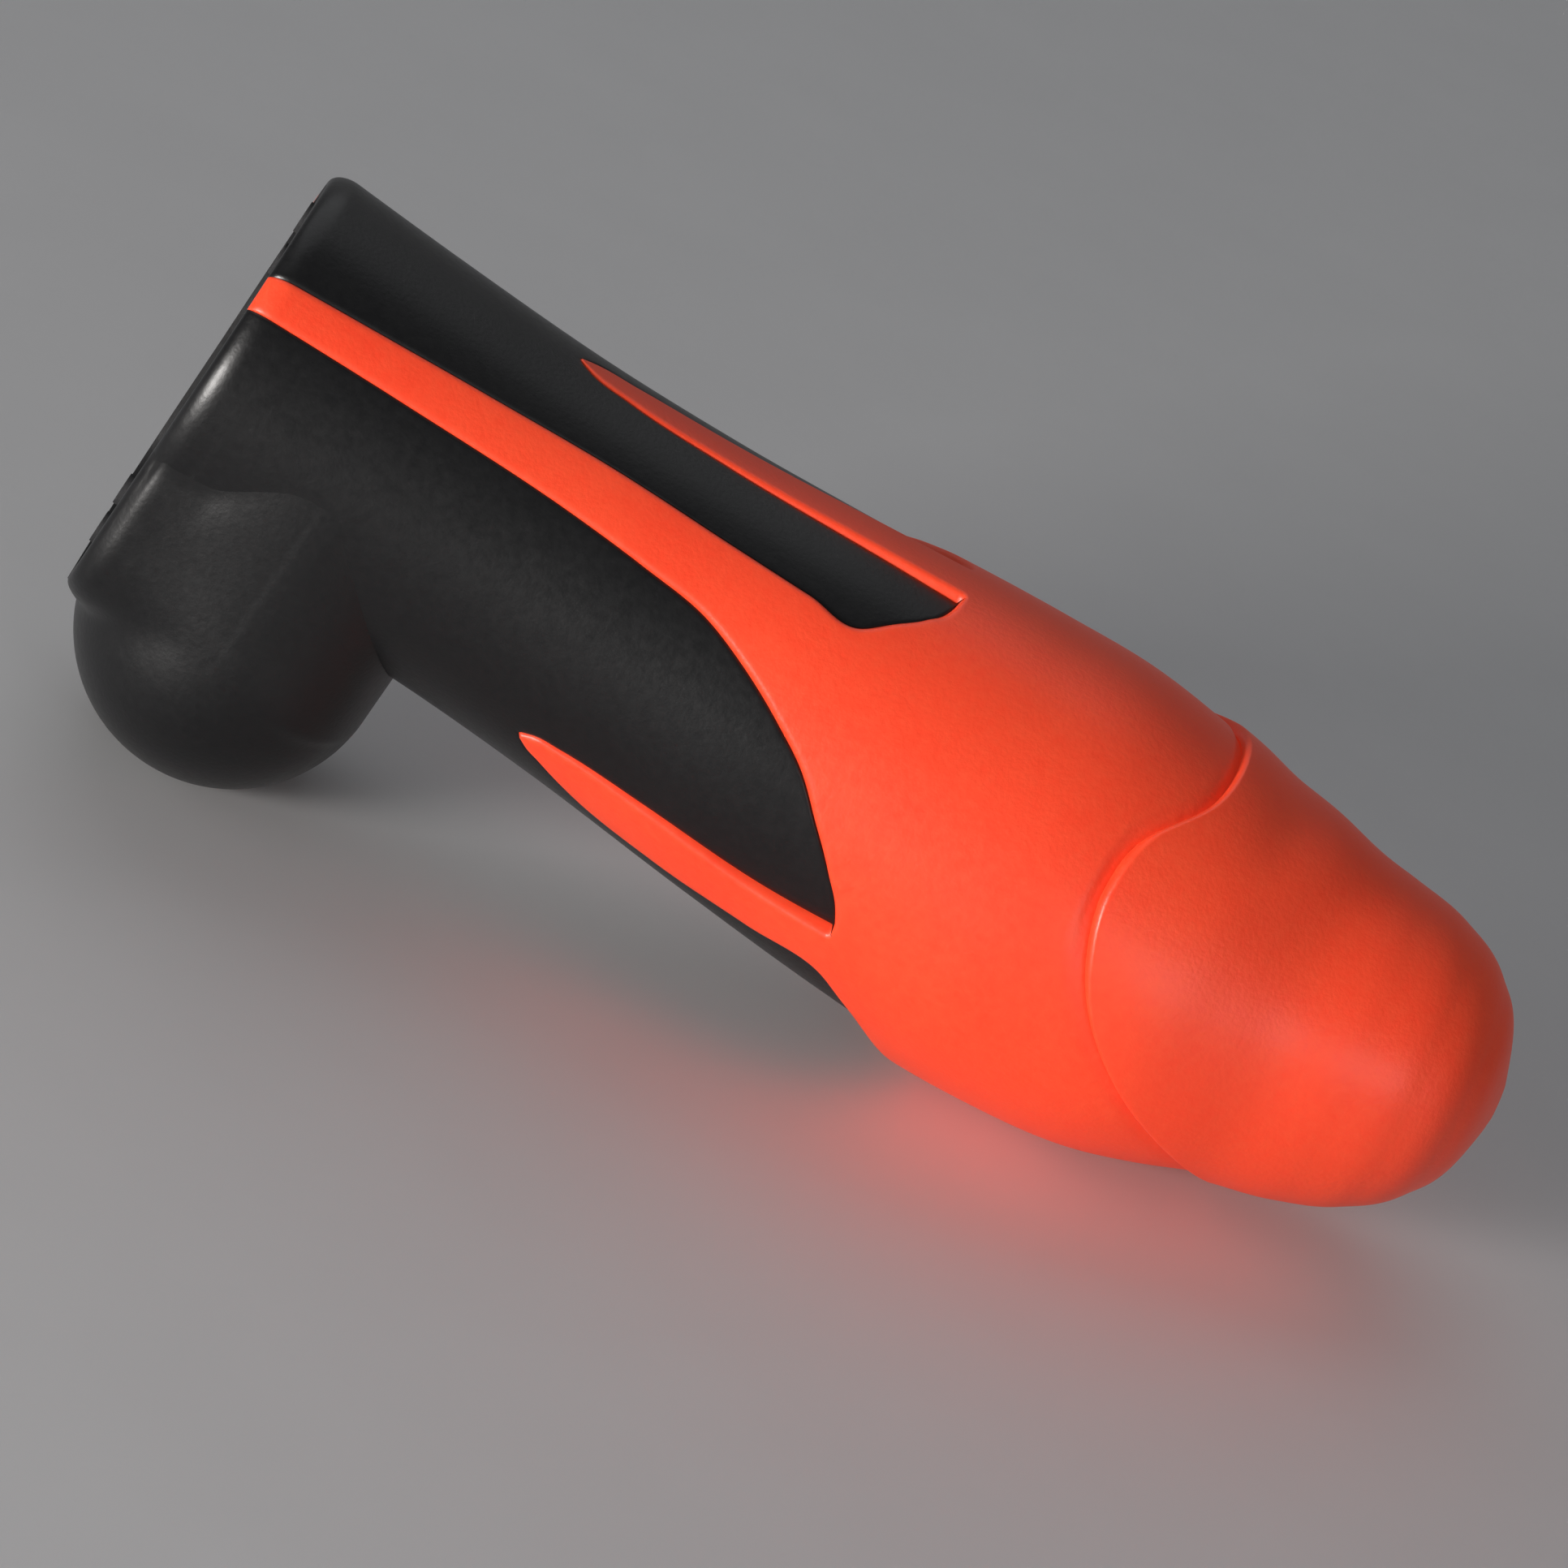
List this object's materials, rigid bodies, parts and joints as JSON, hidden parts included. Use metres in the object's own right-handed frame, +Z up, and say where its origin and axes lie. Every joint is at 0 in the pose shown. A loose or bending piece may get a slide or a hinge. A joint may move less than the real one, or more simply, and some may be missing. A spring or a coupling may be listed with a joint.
{
  "type": "one-piece novelty telephone",
  "caption": "One-piece corded telephone shaped as a long rounded body with a nose cap, a rear lobe and a keypad in its flat base, lying down.",
  "frame": {"origin": "centre of the footprint's box, on the surface that the telephone lies on", "axes": "+X towards the nose, +Z up, -Y the side that is seen; the body lies nose-down on its lobe and its belly"},
  "size_m": [0.1932, 0.0604, 0.0788],
  "materials": {
    "orange_shell": "satin, daylight-fluorescent orange-red",
    "black_cover": "satin black",
    "black_plate": "fine matt black",
    "key_plastic": "satin black with plain pale figures",
    "plunger_plastic": "polished dark acetal",
    "rubber_pad": "matt",
    "circuit_board": "green solder mask",
    "screw_steel": "zinc plated",
    "spring_steel": "bright",
    "capsule_metal": "satin",
    "component_plastic": "moulded",
    "wire_insulation": "smooth PVC"
  },
  "bodies": {
    "housing": {"ballast_weight": "screw_steel", "base_plate": "black_plate", "base_screws": "screw_steel", "board_screws": "screw_steel", "body_shell": "orange_shell", "capacitors": "capsule_metal", "dialler_chip": "component_plastic", "hook_board": "circuit_board", "hook_lead": "wire_insulation", "hook_switch": "black_plate", "hybrid_transformer": "component_plastic", "keypad_board": "circuit_board", "keypad_mat": "rubber_pad", "keypad_ribbon": "wire_insulation", "keypad_screws": "screw_steel", "line_jack": "black_plate", "line_lead": "wire_insulation", "lower_cover_left": "black_cover", "lower_cover_right": "black_cover", "microphone": "capsule_metal", "microphone_boot": "rubber_pad", "microphone_lead": "wire_insulation", "nose_cap": "orange_shell", "receiver_capsule": "capsule_metal", "receiver_gasket": "rubber_pad", "receiver_lead": "wire_insulation", "receiver_retainer": "component_plastic", "ringer_capsule": "component_plastic", "rubber_feet": "rubber_pad", "slide_switches": "black_plate", "speech_board": "circuit_board", "upper_cover": "black_cover"},
    "key_0": {"key_0": "key_plastic"},
    "key_1": {"key_1": "key_plastic"},
    "key_2": {"key_2": "key_plastic"},
    "key_3": {"key_3": "key_plastic"},
    "key_4": {"key_4": "key_plastic"},
    "key_5": {"key_5": "key_plastic"},
    "key_6": {"key_6": "key_plastic"},
    "key_7": {"key_7": "key_plastic"},
    "key_8": {"key_8": "key_plastic"},
    "key_9": {"key_9": "key_plastic"},
    "key_hash": {"key_hash": "key_plastic"},
    "key_star": {"key_star": "key_plastic"},
    "hook_plunger": {"hook_plunger": "plunger_plastic"},
    "hook_lever": {"hook_lever": "spring_steel"},
    "ringer_switch_knob": {"ringer_switch_knob": "plunger_plastic"},
    "tone_pulse_knob": {"tone_pulse_knob": "plunger_plastic"}
  },
  "joints": [
    {"name": "key_0_press", "type": "slide", "parent": "housing", "child": "key_0", "axis": [0.9828, 0, -0.1846], "range_m": [0, 0.0012], "stiffness_N_per_m": 500, "springref_m": -0.0005},
    {"name": "key_1_press", "type": "slide", "parent": "housing", "child": "key_1", "axis": [0.9828, 0, -0.1846], "range_m": [0, 0.0012], "stiffness_N_per_m": 500, "springref_m": -0.0005},
    {"name": "key_2_press", "type": "slide", "parent": "housing", "child": "key_2", "axis": [0.9828, 0, -0.1846], "range_m": [0, 0.0012], "stiffness_N_per_m": 500, "springref_m": -0.0005},
    {"name": "key_3_press", "type": "slide", "parent": "housing", "child": "key_3", "axis": [0.9828, 0, -0.1846], "range_m": [0, 0.0012], "stiffness_N_per_m": 500, "springref_m": -0.0005},
    {"name": "key_4_press", "type": "slide", "parent": "housing", "child": "key_4", "axis": [0.9828, 0, -0.1846], "range_m": [0, 0.0012], "stiffness_N_per_m": 500, "springref_m": -0.0005},
    {"name": "key_5_press", "type": "slide", "parent": "housing", "child": "key_5", "axis": [0.9828, 0, -0.1846], "range_m": [0, 0.0012], "stiffness_N_per_m": 500, "springref_m": -0.0005},
    {"name": "key_6_press", "type": "slide", "parent": "housing", "child": "key_6", "axis": [0.9828, 0, -0.1846], "range_m": [0, 0.0012], "stiffness_N_per_m": 500, "springref_m": -0.0005},
    {"name": "key_7_press", "type": "slide", "parent": "housing", "child": "key_7", "axis": [0.9828, 0, -0.1846], "range_m": [0, 0.0012], "stiffness_N_per_m": 500, "springref_m": -0.0005},
    {"name": "key_8_press", "type": "slide", "parent": "housing", "child": "key_8", "axis": [0.9828, 0, -0.1846], "range_m": [0, 0.0012], "stiffness_N_per_m": 500, "springref_m": -0.0005},
    {"name": "key_9_press", "type": "slide", "parent": "housing", "child": "key_9", "axis": [0.9828, 0, -0.1846], "range_m": [0, 0.0012], "stiffness_N_per_m": 500, "springref_m": -0.0005},
    {"name": "key_hash_press", "type": "slide", "parent": "housing", "child": "key_hash", "axis": [0.9828, 0, -0.1846], "range_m": [0, 0.0012], "stiffness_N_per_m": 500, "springref_m": -0.0005},
    {"name": "key_star_press", "type": "slide", "parent": "housing", "child": "key_star", "axis": [0.9828, 0, -0.1846], "range_m": [0, 0.0012], "stiffness_N_per_m": 500, "springref_m": -0.0005},
    {"name": "hook_press", "type": "slide", "parent": "housing", "child": "hook_plunger", "axis": [0.9828, 0, -0.1846], "range_m": [0, 0.0025], "stiffness_N_per_m": 300, "springref_m": -0.001},
    {"name": "hook_lever_turn", "type": "hinge", "parent": "housing", "child": "hook_lever", "pos_m": [-0.08585, 0.0062, 0.02354], "axis": [0.1846, 0, 0.9828], "range_deg": [0, 22]},
    {"name": "ringer_switch_slide", "type": "slide", "parent": "housing", "child": "ringer_switch_knob", "axis": [0, 1, 0], "range_m": [0, 0.0025]},
    {"name": "tone_pulse_slide", "type": "slide", "parent": "housing", "child": "tone_pulse_knob", "axis": [0, 1, 0], "range_m": [0, 0.0025]}
  ],
  "couplings": [
    {"joint": "hook_lever_turn", "follows": "hook_press", "rad_per_m": 153.5}
  ]
}
